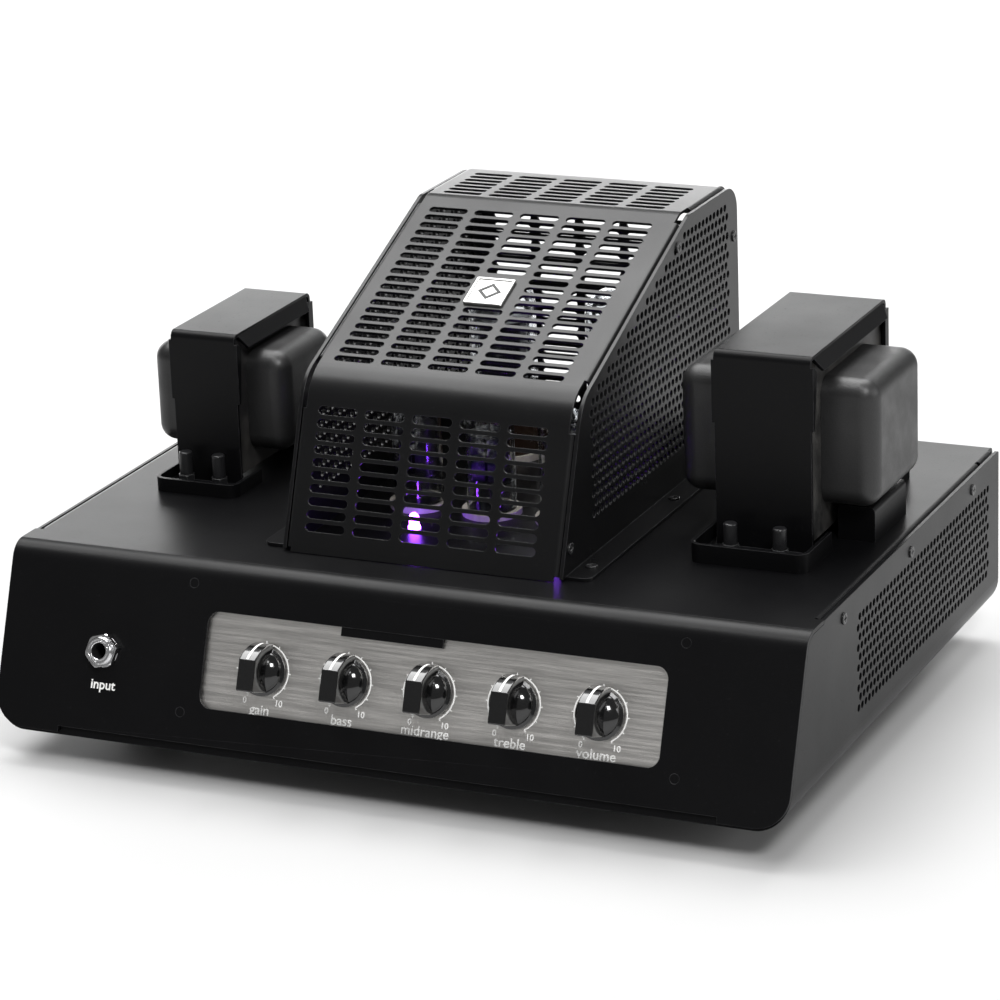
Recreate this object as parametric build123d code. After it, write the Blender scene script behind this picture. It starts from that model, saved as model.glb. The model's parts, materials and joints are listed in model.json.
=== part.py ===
from build123d import *
import math
import os

# Valve guitar amplifier head. Millimetres, +Z up, +X to the right seen from the front, +Y to the back.
# The pieces are laid out from the bottom of the base tray (Z = 0), the middle of the chassis (X = 0)
# and the top front corner of its side walls (Y = 0). write_nodes() then moves them all together, so that
# the origin is the middle of the bounding box in plan and the surface that the feet stand on.

# ---- driving dimensions ------------------------------------------------------------------------------
CHASSIS_WIDTH = 345.0
CHASSIS_HEIGHT = 71.5
SIDE_DEPTH = 234.4
COVER_REAR = 238.0
SHEET = 1.5
GAP = 0.2
RAKE_DEG = 20.98
FACE_STAND_OFF = 1.7
FRONT_BEND = 9.0
TRAY_BEND = 13.6
FOOT_RADIUS = 12.5
FOOT_HEIGHT = 14.0
FOOT_X = 132.0
FOOT_Y = (28.0, 205.0)

# Control opening and plate, as X and as distance down the raked face.
OPENING_X = (-80.0, 118.5)
OPENING_DOWN = (18.5, 57.5)
PLATE_X = (-95.0, 131.5)
PLATE_DOWN = (3.5, 65.0)
PLATE_RECESS = 2.0
PLATE_THICK = 1.2
TAB_X = (-21.0, 23.3)
TAB_DOWN = 22.1
STUDS = ((-88.0, 8.2), (124.2, 8.4), (125.5, 60.3), (-88.0, 60.3))
KNOB_NAMES = ("gain", "bass", "midrange", "treble", "volume")
KNOB_PITCH = 36.39
KNOB_MIDDLE_X = 19.0
KNOB_DOWN = 39.9
KNOB_RADIUS = 10.0
KNOB_HEIGHT = 15.8
KNOB_BAR_HALF = 3.7
KNOB_TAIL = -8.3
KNOB_GAP = 0.6
SHAFT_RADIUS = 3.0
RUNNING_CLEARANCE = 0.05
SHAFT_REACH = 9.5
POT_BUSHING = 3.9
POT_BODY = 8.2
POT_DEPTH = 8.5
POT_NUT_HEIGHT = 2.0
BOARD = 1.6
JACK_X = -125.4
JACK_DOWN = 40.0
JACK_BORE = 3.25
BUSHING_RADIUS = 5.3
JACK_WASHER_RADIUS = 6.6
JACK_NUT_FLATS = 12.7
JACK_NUT_TURN_DEG = 15.0

# Perforations in the side walls of the chassis and of the cage.
HOLE_RADIUS = 1.6
HOLE_PITCH = 4.18
VENT_REAR_Y = 219.1
VENT_TOP_Z = 58.7
VENT_COLUMNS = 40
VENT_ROWS = 10
SIDE_SCREWS = ((37.5, 64.3), (118.2, 64.4), (198.3, 65.0))

# Cage over the valves: the outline of its side walls, from the rear foot over the top to the front foot.
CAGE_HALF = 61.5
CAGE_COVER_HALF = 59.9
CAGE_COVER_SHEET = 1.2
CAGE_COVER_PROUD = 0.8
CAGE_FLAT_HALF = 57.6
CAGE_COVER_FLANGE = 9.0
CAGE_TOP = 184.4
CAGE_REAR = 218.5
CAGE_FRONT = 22.0
CAGE_CORNER = (47.5, 137.9)
CAGE_TOP_CORNER_Y = 163.4
CAGE_BENDS = (11.0, 8.0, 20.0)
CAGE_FLANGE_HALF = 72.0
SLOT_LENGTH = 17.5
SLOT_HEIGHT = 3.5
SLOT_COLUMN_PITCH = 20.9
SLOT_MIDDLE_X = -1.6
# Slot rows of each stretch: how many, the first one's distance from the stretch's upper corner, the pitch.
REAR_SLOTS = (17, 10.0, 5.38)
TOP_SLOTS = (7, 19.0, 5.33)
SLOPE_SLOTS = (20, 10.5, 5.383)
FRONT_SLOTS = (10, 13.45, 5.258)
BADGE_X = -3.2
BADGE_ALONG = 63.0
BADGE_SIZE = 17.5
CAGE_HOLE_TOP = 177.0
CAGE_HOLE_ROWS = 22
CAGE_HOLE_REAR = 204.2
CAGE_HOLE_FRONT = 54.0
CAGE_SCREWS = ((150.6, 173.9), (213.9, 162.4), (30.8, 82.8), (213.9, 90.0))
CAGE_FOOT_X = 66.5
CAGE_FOOT_Y = (39.5, 127.6, 210.0)

# Transformers: middle, half width of the strap, strap from front to back, height, foot pans, bells.
OUTPUT_TRANSFORMER = dict(
    x=-129.3, half=15.0, y=(88.4, 159.4), top=138.3, pan_half=19.5, pan_y=(73.5, 174.3), pan_height=6.0,
    bolt_x=7.8, bolt_inset=8.5, bolt_top=87.7, bell_half=32.0, bell_y=(100.0, 148.0), bell_z=(84.0, 128.0))
MAINS_TRANSFORMER = dict(
    x=124.1, half=20.3, y=(80.4, 170.6), top=153.8, pan_half=24.8, pan_y=(60.2, 190.8), pan_height=8.0,
    bolt_x=10.4, bolt_inset=9.8, bolt_top=86.5, bell_half=41.9, bell_y=(95.0, 153.0), bell_z=(88.0, 141.0))

STRAP_SHEET = 1.5
FLAP_DEG = 31.0
FLAP_LENGTH = 7.5
FLAP_MITRE = 7.0
MITRE_START = 3.2
PAN_UNDER = 10.0
BOLT_CAP_RADIUS = 2.8
BOLT_CAP_UP = 5.0

# Valves: positions of the two output valves and the three small ones, and their holes in the cover.
POWER_SOCKET = 14.5
SMALL_SOCKET = 10.0
POWER_VALVES = ((-27.0, 168.0), (27.0, 168.0))
SMALL_VALVES = ((-33.0, 92.0), (0.0, 92.0), (33.0, 92.0))

# Screws and bolts.
SCREW_SHANK = 1.5
SCREW_HEAD = 2.4
BOLT_RADIUS = 2.0

# Rear panel and its fittings along X.
REAR_PANEL_Y = 231.0
REAR_Z = 36.0
INLET_X = 130.0
MAINS_SWITCH_X = 86.0
STANDBY_SWITCH_X = 52.0
REAR_JACK_X = (14.0, -12.0, -44.0, -70.0)
LINE_OUT_X = -106.0
BUTTON_X = -134.0
ROCKER_TILT_DEG = 12.0
BUTTON_RADIUS = 4.0
INLET_WIDTH = 48.0
INLET_HEIGHT = 27.0
DRAWER_X = 15.0
SWITCH_WIDTH = 27.0
SWITCH_HEIGHT = 19.0
LINE_BARREL = 11.4
FLANGE = 2.0
REAR_SEAMS = (-88.0, MAINS_SWITCH_X)
REAR_SCREWS = ((-160.0, 10.0), (-55.0, 10.0), (33.0, 10.0), (160.0, 10.0), (-160.0, 60.0), (160.0, 60.0))

RAKE = math.radians(RAKE_DEG)
HALF_WIDTH = CHASSIS_WIDTH / 2
REAR_HALF = HALF_WIDTH - SHEET - GAP
FACE_TOP_Y = -FACE_STAND_OFF / math.cos(RAKE)
FACE_LENGTH = CHASSIS_HEIGHT / math.cos(RAKE)
PLATE_FRONT = -PLATE_RECESS
PLATE_BACK = -PLATE_RECESS - PLATE_THICK
KNOB_BASE = PLATE_FRONT + KNOB_GAP
SHAFT_TIP = PLATE_FRONT + SHAFT_REACH
COVER_TOP = CHASSIS_HEIGHT
COVER_UNDER = CHASSIS_HEIGHT - SHEET
KNOB_X = [KNOB_MIDDLE_X + (i - 2) * KNOB_PITCH for i in range(len(KNOB_NAMES))]
# The raked face: x to the right, y up the face, z out of it, from the sharp edge that its bend rounds off.
FACE = Plane(
    origin=(0, FACE_TOP_Y, CHASSIS_HEIGHT),
    x_dir=(1, 0, 0),
    z_dir=(0, -math.cos(RAKE), math.sin(RAKE)))
nodes = {}


# ---- helpers -----------------------------------------------------------------------------------------
def block(x, y, z):
    """A box from three (low, high) pairs."""
    size = [high - low for low, high in (x, y, z)]
    middle = [(high + low) / 2 for low, high in (x, y, z)]
    return Pos(*middle) * Box(*size)


def rounded_block(x, y, z, radius):
    return fillet(block(x, y, z).edges(), radius)


def on_face(x, down, out=0.0):
    """The place at x and a distance down the raked face, with +Z pointing out of the face."""
    return FACE.location * Pos(x, -down, out)


def rod(radius, start, end):
    """A cylinder along Z between two heights."""
    return Pos(0, 0, (start + end) / 2) * Cylinder(radius, abs(end - start))


def hexagon(flats, start, end):
    """A hexagon prism along Z, with its flats at the top and bottom, chamfered a little at both ends."""
    prism = Pos(0, 0, start) * extrude(RegularPolygon(flats / math.sqrt(3), 6), end - start)
    cone_radius = flats / math.sqrt(3)
    trim = chamfer(rod(cone_radius, start, end).edges().filter_by(GeomType.CIRCLE), 0.5)
    return prism & trim


def facing_back(x, y, z):
    """A place on the rear panel whose +Z points out of the back, +X to the left seen from the back."""
    return Plane(origin=(x, y, z), x_dir=(-1, 0, 0), z_dir=(0, 1, 0)).location


def inset_points(points, distance):
    """An open polyline moved to its left, with mitred corners."""
    normals = []
    for (ax, ay), (bx, by) in zip(points, points[1:]):
        length = math.hypot(bx - ax, by - ay)
        normals.append((-(by - ay) / length, (bx - ax) / length))
    pairs = zip([normals[0]] + normals, normals + [normals[-1]])
    moved = []
    for (px, py), ((ax, ay), (bx, by)) in zip(points, pairs):
        share = distance / (1 + ax * bx + ay * by)
        moved.append((px + share * (ax + bx), py + share * (ay + by)))
    return moved


def bent_section(points, radii, thickness):
    """The section of a bent sheet. points and radii follow its outer side, and every bend turns left."""
    outer = FilletPolyline(*points, radius=radii)
    inner_radii = [max(radius - thickness, 0.3) for radius in radii]
    inner = FilletPolyline(*inset_points(points, thickness), radius=inner_radii)
    ends = [Line(outer @ 0, inner @ 0), Line(outer @ 1, inner @ 1)]
    return make_face(outer.edges() + inner.edges() + [end.edge() for end in ends])


def across(section, half_width):
    """A section drawn as (y, z), extruded to both sides of X = 0."""
    return extrude(Plane.YZ * section, half_width, both=True)


def filled(points, radii):
    """A closed outline with round corners: radii are for the inner points of the open run."""
    run = FilletPolyline(*points, radius=radii)
    return make_face(run.edges() + [Line(run @ 1, run @ 0).edge()])


def mirrored(shape):
    return mirror(shape, about=Plane.YZ)


def keep(name, *shapes):
    """Store a node as a group of its separate solids."""
    nodes[name] = Compound([solid for shape in shapes for solid in shape.solids()])


def pan_screw(radius, shank_radius, length):
    """A pan-head cross-recess screw whose head stands on Z = 0 and whose shank goes down."""
    head_height = 0.3 * radius
    head = fillet(rod(radius, 0, head_height).edges().group_by(Axis.Z)[-1], 0.5 * head_height)
    recess_arm = Box(1.15 * radius, 0.28 * radius, head_height)
    recess = Pos(0, 0, head_height) * (recess_arm + Rot(0, 0, 90) * recess_arm)
    return head - recess + rod(shank_radius, -length, 0.1)


# ---- chassis -----------------------------------------------------------------------------------------
def cover_outline():
    """The outer side of the cover, from its rear lip over the top and down the raked face, as (y, z)."""
    bottom_y = FACE_TOP_Y - FACE_LENGTH * math.sin(RAKE)
    return [(COVER_REAR, 62.0), (COVER_REAR, COVER_TOP), (FACE_TOP_Y, COVER_TOP), (bottom_y, 0.0)]


def transformer_bolts(t):
    front = t["pan_y"][0] + t["bolt_inset"]
    rear = t["pan_y"][1] - t["bolt_inset"]
    return [(t["x"] + side * t["bolt_x"], y) for side in (-1, 1) for y in (front, rear)]


def make_top_cover():
    """One bent sheet with side flanges inside the side walls, kept as three nodes divided at its bends."""
    section = bent_section(cover_outline(), [2.5, FRONT_BEND], SHEET)
    flat_half = 168.6
    notch_front, flange_front, flange_rear = 15.0, 17.0, 213.0
    cover = across(section, flat_half)
    cover += across(section, HALF_WIDTH) & block((-200, 200), (-100, notch_front), (-5, 100))
    flange_path = [(REAR_HALF, 60.5), (REAR_HALF, COVER_TOP), (flat_half - 1.5, COVER_TOP)]
    flange = bent_section(flange_path, [2.3], SHEET)
    for start, end in ((flange_front, flange_rear), (flange_rear + 3.0, REAR_PANEL_Y - 0.3)):
        run = Pos(0, end, 0) * extrude(Plane.XZ * flange, end - start)
        cover += [run, mirrored(run)]
    # Lower corners of the face are rounded like the bends of the tray behind them.
    corner = FACE_LENGTH - 1.6
    outline = Pos(0, -corner / 2) * Rectangle(CHASSIS_WIDTH, corner)
    rounded = fillet(outline.vertices().group_by(Axis.Y)[0], TRAY_BEND)
    keep_zone = FACE.location * extrude(rounded, 3.0, both=True)
    upper_zone = block((-200, 200), (-20, 300), (60.0, 100))
    cover = cover & (keep_zone + upper_zone)
    # The face stops short in the middle, above the front lip of the tray.
    cover -= FACE.location * block((-142.6, 144.2), (-80, -72.5), (-5, 5))
    # Control opening with its small tab, jack hole and stud holes.
    width = OPENING_X[1] - OPENING_X[0]
    height = OPENING_DOWN[1] - OPENING_DOWN[0]
    opening = RectangleRounded(width, height, 5.0)
    cover -= on_face(sum(OPENING_X) / 2, sum(OPENING_DOWN) / 2) * extrude(opening, 4.0, both=True)
    cover += FACE.location * block(TAB_X, (-TAB_DOWN, -OPENING_DOWN[0] + 1.0), (-1.8, -0.4))
    cover -= on_face(JACK_X, JACK_DOWN) * rod(BUSHING_RADIUS + GAP, -4, 4)
    cover -= [on_face(x, down) * rod(2.0, -4, 4) for x, down in STUDS]
    # Holes in the top: valve sockets, transformer bolts, cage screws, and screw holes in the flanges.
    holes = [Pos(x, y, COVER_TOP) * Cylinder(POWER_SOCKET, 10) for x, y in POWER_VALVES]
    holes += [Pos(x, y, COVER_TOP) * Cylinder(SMALL_SOCKET, 10) for x, y in SMALL_VALVES]
    for transformer in (OUTPUT_TRANSFORMER, MAINS_TRANSFORMER):
        places = transformer_bolts(transformer)
        holes += [Pos(x, y, COVER_TOP) * Cylinder(BOLT_RADIUS + GAP, 10) for x, y in places]
    for side in (-1, 1):
        holes += [Pos(side * CAGE_FOOT_X, y, COVER_TOP) * Cylinder(SCREW_SHANK, 10) for y in CAGE_FOOT_Y]
    crosswise = Rot(0, 90, 0) * Cylinder(SCREW_SHANK, CHASSIS_WIDTH)
    holes += [Pos(0, y, z) * crosswise for y, z in SIDE_SCREWS]
    cover -= holes
    seam = FACE_TOP_Y + FRONT_BEND * math.tan((math.pi / 2 - RAKE) / 2)
    fold = COVER_TOP - 2.6
    low = SHEET + 0.1
    rear_foot = block((20 - REAR_HALF, REAR_HALF - 20), (REAR_PANEL_Y - 12, REAR_PANEL_Y), (low, low + SHEET))
    front = cover & block((-200, 200), (-100, seam), (-5, 100))
    top = cover & block((-200, 200), (seam, 300), (fold, 100))
    flanges = cover & block((-200, 200), (seam, 300), (-5, fold))
    keep("front_panel", *front.solids())
    keep("top_cover", *top.solids())
    keep("bent_flanges", *flanges.solids(), rear_foot)


def make_base_tray():
    """Bottom and side walls in one sheet with large round bends, and a low lip at the front."""
    top = CHASSIS_HEIGHT - 0.5
    channel = bent_section(
        [(-HALF_WIDTH, 90), (-HALF_WIDTH, 0), (HALF_WIDTH, 0), (HALF_WIDTH, 90)],
        [TRAY_BEND, TRAY_BEND], SHEET)
    tray = Pos(0, SIDE_DEPTH, 0) * extrude(Plane.XZ * channel, SIDE_DEPTH + 60)
    inner = inset_points(cover_outline(), FACE_STAND_OFF)
    step_y = 15.5
    outline = [(SIDE_DEPTH, 0), (SIDE_DEPTH, top), (step_y, top), (step_y, inner[2][1]), inner[2], inner[3]]
    tray &= across(filled(outline, [1.0, 0, 0, FRONT_BEND - FACE_STAND_OFF]), 200)
    lip_back = -FACE_STAND_OFF - SHEET
    lip = FACE.location * block((-142.0, 143.6), (-80, -67.5), (lip_back, -FACE_STAND_OFF))
    tray += lip & block((-200, 200), (-100, 100), (0, 50))
    cutters = []
    for row in range(VENT_ROWS):
        rear = VENT_REAR_Y - (row % 2) * HOLE_PITCH / 2
        z = VENT_TOP_Z - row * HOLE_PITCH
        cutters += [(rear - column * HOLE_PITCH, z, HOLE_RADIUS) for column in range(VENT_COLUMNS)]
    cutters += [(y, z, SCREW_SHANK) for y, z in SIDE_SCREWS]
    through = [Pos(0, y, z) * Rot(0, 90, 0) * Cylinder(radius, 360) for y, z, radius in cutters]
    through += [Pos(x, y, 0) * Cylinder(SCREW_SHANK, 10) for x in (-FOOT_X, FOOT_X) for y in FOOT_Y]
    tray -= through
    keep("base_tray", tray)


def make_rear_panel():
    """Back wall with one cut-out for each fitting, in lengths that meet behind its larger fittings."""
    y = REAR_PANEL_Y
    wall = block((-REAR_HALF, REAR_HALF), (y, y + SHEET), (SHEET + 0.1, COVER_UNDER - 0.3))
    corners = wall.edges().filter_by(Axis.Y).group_by(Axis.Z)[0]
    wall = fillet(corners, TRAY_BEND - SHEET)
    cuts = [facing_back(INLET_X, y, REAR_Z) * Box(INLET_WIDTH, INLET_HEIGHT, 10)]
    for x in (MAINS_SWITCH_X, STANDBY_SWITCH_X):
        cuts.append(facing_back(x, y, REAR_Z) * Box(SWITCH_WIDTH, SWITCH_HEIGHT, 10))
    cuts += [facing_back(x, y, REAR_Z) * Cylinder(BUSHING_RADIUS + GAP, 10) for x in REAR_JACK_X]
    cuts.append(facing_back(LINE_OUT_X, y, REAR_Z) * Cylinder(LINE_BARREL + GAP, 10))
    cuts.append(facing_back(BUTTON_X, y, REAR_Z) * Cylinder(BUTTON_RADIUS + 0.6, 10))
    cuts += [facing_back(x, y, z) * Cylinder(SCREW_SHANK, 10) for x, z in REAR_SCREWS]
    panel = wall - cuts
    seams = (-200.0, *REAR_SEAMS, 200.0)
    lengths = [panel & block((low, high), (200, 260), (0, 100)) for low, high in zip(seams, seams[1:])]
    keep("rear_panel", *lengths)


def make_chassis_screws():
    """Silver pan-head screws: three in each side wall and the ones in the rear panel."""
    screw = pan_screw(SCREW_HEAD, SCREW_SHANK, 6.0)
    placed = []
    for y, z in SIDE_SCREWS:
        right = Pos(HALF_WIDTH, y, z) * Rot(0, 90, 0) * screw
        placed += [right, mirrored(right)]
    placed += [facing_back(x, REAR_PANEL_Y + SHEET, z) * screw for x, z in REAR_SCREWS]
    keep("chassis_screws", *placed)


def make_feet():
    """Tapered rubber feet with a recess for their screws."""
    foot = Pos(0, 0, -FOOT_HEIGHT / 2) * Cone(FOOT_RADIUS - 1.5, FOOT_RADIUS, FOOT_HEIGHT)
    foot = fillet(foot.edges().group_by(Axis.Z)[0], 1.2)
    foot -= rod(4.0, -FOOT_HEIGHT, -5.0)
    foot -= rod(SCREW_SHANK, -5.0, 0)
    screw = Pos(0, 0, -5.0) * Rot(180, 0, 0) * pan_screw(3.0, SCREW_SHANK, 9.0)
    places = [Pos(x, y, 0) for x in (-FOOT_X, FOOT_X) for y in FOOT_Y]
    keep("feet", *[place * foot for place in places])
    keep("foot_screws", *[place * screw for place in places])


# ---- controls ----------------------------------------------------------------------------------------
def make_control_plate():
    """Brushed plate behind the opening, with the studs and nuts that hold it."""
    plate = FACE.location * block(PLATE_X, (-PLATE_DOWN[1], -PLATE_DOWN[0]), (PLATE_BACK, PLATE_FRONT))
    plate -= [on_face(x, KNOB_DOWN) * rod(POT_BUSHING + 0.1, -8, 4) for x in KNOB_X]
    plate -= [on_face(x, down) * rod(1.6, -8, 4) for x, down in STUDS]
    stud = rod(1.95, PLATE_FRONT, -0.05) + rod(1.5, -9.0, PLATE_FRONT)
    nut = hexagon(5.5, PLATE_BACK - 2.4, PLATE_BACK) - rod(1.5, -9, 0)
    keep("control_plate", plate)
    keep("plate_studs", *[on_face(x, down) * stud for x, down in STUDS])
    keep("plate_nuts", *[on_face(x, down) * nut for x, down in STUDS])


def make_pots():
    """Potentiometers in a row on their own board, each with a washer-faced nut in front of the plate."""
    back = PLATE_BACK - POT_DEPTH
    body = fillet(rod(POT_BODY, back, PLATE_BACK).edges(), 0.6)
    body += rod(POT_BUSHING, PLATE_BACK - 1, PLATE_FRONT + 3.0)
    body -= rod(SHAFT_RADIUS + RUNNING_CLEARANCE, back + 3.0, 6)
    nut = hexagon(10.0, PLATE_FRONT, PLATE_FRONT + POT_NUT_HEIGHT) - rod(POT_BUSHING, -8, 8)
    places = [on_face(x, KNOB_DOWN) for x in KNOB_X]
    keep("potentiometers", *[place * body for place in places])
    keep("pot_nuts", *[place * nut for place in places])
    margin = 14.0
    board = FACE.location * block(
        (KNOB_X[0] - margin, KNOB_X[-1] + margin), (-KNOB_DOWN - margin, -KNOB_DOWN + margin),
        (back - BOARD, back))
    keep("front_board", board)


def make_knobs():
    """Five knobs: a domed skirt under a tall bar whose top curves over towards the pointer end."""
    tip = PLATE_FRONT + KNOB_HEIGHT
    nose, rim = (KNOB_RADIUS + 1.3, KNOB_BASE + 1.0), KNOB_BASE + 0.9
    crest = (4.3, tip)
    curve = ThreePointArc(nose, (8.9, KNOB_BASE + 9.8), crest)
    outline = Polyline(crest, (KNOB_TAIL, tip), (KNOB_TAIL, nose[1]), nose)
    bar = extrude(Plane.YZ * make_face(curve.edges() + outline.edges()), KNOB_BAR_HALF, both=True)
    bar = fillet(bar.edges().filter_by(lambda edge: edge.center().Z > nose[1] + 1.0), 0.6)
    shoulder, apex = (KNOB_RADIUS - 1.5, KNOB_BASE + 2.2), (0, KNOB_BASE + 5.6)
    skirt_side = make_face(
        Polyline(
            (0, KNOB_BASE), (KNOB_RADIUS, KNOB_BASE), (KNOB_RADIUS, rim), (KNOB_RADIUS - 1.3, rim + 0.6),
            shoulder).edges()
        + ThreePointArc(shoulder, (6.0, KNOB_BASE + 4.4), apex).edges()
        + Line(apex, (0, KNOB_BASE)).edges())
    knob = bar + revolve(Plane.XZ * skirt_side, Axis.Z)
    knob -= rod(6.6, KNOB_BASE - 1, PLATE_FRONT + POT_NUT_HEIGHT + 1.0)
    knob -= rod(SHAFT_RADIUS, KNOB_BASE - 1, SHAFT_TIP)
    shaft = rod(SHAFT_RADIUS, PLATE_BACK - POT_DEPTH + 3.2, SHAFT_TIP)
    for name, x in zip(KNOB_NAMES, KNOB_X):
        keep(f"{name}_knob", on_face(x, KNOB_DOWN) * knob)
        keep(f"{name}_shaft", on_face(x, KNOB_DOWN) * shaft)


def jack_parts(panel_thick):
    """A quarter-inch socket: housing behind the panel, bushing through it, washer and hexagon nut."""
    back = -panel_thick - 24.0
    housing = rounded_block((-8, 8), (-10, 10), (back, -panel_thick), 0.8)
    bushing = rod(BUSHING_RADIUS, -panel_thick - 1, 4.4)
    bushing = chamfer(bushing.edges().group_by(Axis.Z)[-1], 0.5)
    socket = housing + bushing - rod(JACK_BORE, back + 2.0, 8)
    washer = rod(JACK_WASHER_RADIUS, 0, 0.6) - rod(BUSHING_RADIUS + 0.1, -1, 2)
    nut = Rot(0, 0, JACK_NUT_TURN_DEG) * hexagon(JACK_NUT_FLATS, 0.6, 3.2) - rod(BUSHING_RADIUS, -1, 8)
    return socket, washer, nut


def make_jacks():
    """The input socket in the raked face, and the loudspeaker and loop sockets in the rear panel."""
    socket, washer, nut = jack_parts(SHEET)
    front = on_face(JACK_X, JACK_DOWN)
    keep("input_jack", front * socket)
    rear = [facing_back(x, REAR_PANEL_Y + SHEET, REAR_Z) for x in REAR_JACK_X]
    keep("rear_jacks", *[place * socket for place in rear])
    keep("jack_washers", *[place * washer for place in [front] + rear])
    keep("jack_nuts", *[place * nut for place in [front] + rear])


# ---- rear fittings -----------------------------------------------------------------------------------
def make_mains_inlet():
    """Three-pin mains inlet with a fuse drawer beside it, in one snap-in housing."""
    place = facing_back(INLET_X, REAR_PANEL_Y + SHEET, REAR_Z)
    flange = fillet(block((-27, 27), (-16, 16), (0, FLANGE)).edges().filter_by(Axis.Z), 3.0)
    body = flange + block((-INLET_WIDTH / 2 + 0.2, INLET_WIDTH / 2 - 0.2), (-13.3, 13.3), (-24, 0))
    socket = block((-21, 5), (-8.5, 8.5), (-16, 5))
    socket = chamfer(socket.edges().filter_by(Axis.Z).group_by(Axis.Y)[-1], 4.0)
    body -= socket
    body -= block((DRAWER_X - 5.2, DRAWER_X + 5.2), (-9.2, 9.2), (-22, 5))
    for x, y in ((-8, 3.5), (-15, -3), (-1, -3)):
        body += block((x - 1, x + 1), (y - 2.2, y + 2.2), (-17, -3))
    keep("mains_inlet", place * body)
    drawer = block((DRAWER_X - 4.9, DRAWER_X + 4.9), (-8.9, 8.9), (-18, FLANGE + 0.8))
    drawer = fillet(drawer.edges().group_by(Axis.Z)[-1], 0.5)
    drawer -= block((DRAWER_X - 2.6, DRAWER_X + 2.6), (-7.0, 7.0), (-16.5, -3.0))
    drawer -= block((DRAWER_X - 3, DRAWER_X + 3), (7.2, 10), (0.6, 1.8))
    keep("fuse_drawer", place * drawer)


def make_switch(name, x):
    """A rocker switch: snap-in frame and the rocker that tilts in it, held on a cross pin."""
    place = facing_back(x, REAR_PANEL_Y + SHEET, REAR_Z)
    flange = fillet(block((-15, 15), (-11, 11), (0, FLANGE)).edges().filter_by(Axis.Z), 1.5)
    well = block((-11.0, 11.0), (-7.0, 7.0), (-13, 5))
    frame = flange + block((-SWITCH_WIDTH / 2 + 0.2, SWITCH_WIDTH / 2 - 0.2), (-9.3, 9.3), (-20, 0)) - well
    pin = Rot(90, 0, 0) * rod(1.2, -9.0, 9.0)
    pivot = Pos(0, 0, -4.0)
    frame += pivot * pin
    keep(f"{name}_frame", place * frame)
    # The rocker's outside is a shallow V, so that one end stands out when the other is in.
    reach = 10.3
    half_y = 6.7
    rise = math.tan(math.radians(ROCKER_TILT_DEG))
    top = 5.0
    side_view = make_face(Polyline(
        (-reach, -2.0), (-reach + 1, top + reach * rise), (0, top),
        (reach - 1, top + reach * rise), (reach, -2.0),
        (4.5, -7.0), (-4.5, -7.0), close=True).edges())
    rocker = extrude(Plane.XZ * side_view, half_y, both=True)
    rocker = fillet(rocker.edges().filter_by(lambda edge: edge.center().Z > top), 0.5)
    rocker -= Rot(90, 0, 0) * rod(1.2 + RUNNING_CLEARANCE, -9.5, 9.5)
    keep(f"{name}_rocker", place * pivot * Rot(0, ROCKER_TILT_DEG, 0) * rocker)


def make_line_out():
    """Three-pin line socket with its push button for lifting the ground."""
    place = facing_back(LINE_OUT_X, REAR_PANEL_Y + SHEET, REAR_Z)
    flange = fillet(block((-13, 13), (-15.5, 15.5), (0, FLANGE)).edges().filter_by(Axis.Z), 2.0)
    body = flange + rod(LINE_BARREL, -20, 0) - rod(9.6, -14, 5)
    for angle in (90, 210, 330):
        body += Rot(0, 0, angle) * Pos(3.8, 0, 0) * rod(1.2, -15, -3)
    keep("line_out_socket", place * body)
    button_place = facing_back(BUTTON_X, REAR_PANEL_Y + SHEET, REAR_Z)
    housing = block((-6, 6), (-6, 6), (-16, -SHEET - 0.1))
    housing -= rod(BUTTON_RADIUS + 0.3, -13, 5)
    keep("button_housing", button_place * housing)
    cap = fillet(rod(BUTTON_RADIUS, -7.5, 4.0).edges().group_by(Axis.Z)[-1], 0.8)
    keep("ground_lift_button", button_place * cap)


# ---- cage --------------------------------------------------------------------------------------------
def cage_outline(inset, bottom):
    """The side view of the cage, rear foot to front foot, moved inwards by inset and cut at a height."""
    front_low = CAGE_FRONT + (bottom - COVER_TOP) * math.tan(RAKE)
    points = [
        (CAGE_REAR, bottom), (CAGE_REAR, CAGE_TOP), (CAGE_TOP_CORNER_Y, CAGE_TOP), CAGE_CORNER,
        (front_low, bottom)]
    moved = inset_points(points, inset)
    front = moved[-1]
    moved[-1] = (front[0] - (front[1] - bottom) * math.tan(RAKE), bottom)
    return moved


def slope_distance(y, z):
    """How far a point of the side view lies under the sloping edge of the cage."""
    (ax, ay), (bx, by) = (CAGE_TOP_CORNER_Y, CAGE_TOP), CAGE_CORNER
    length = math.hypot(bx - ax, by - ay)
    return abs((bx - ax) * (ay - z) - (ax - y) * (by - ay)) / length


def cage_side_holes():
    """Hole centres of a cage side wall as (y, z), row by row, following the sloping edge."""
    centres = []
    for row in range(CAGE_HOLE_ROWS):
        z = CAGE_HOLE_TOP - row * HOLE_PITCH
        y = CAGE_HOLE_REAR + (row % 2) * HOLE_PITCH / 2
        while y >= CAGE_HOLE_FRONT:
            if slope_distance(y, z) >= 4.8 or y > CAGE_TOP_CORNER_Y:
                centres.append((y, z))
            y -= HOLE_PITCH
    return centres


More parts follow.
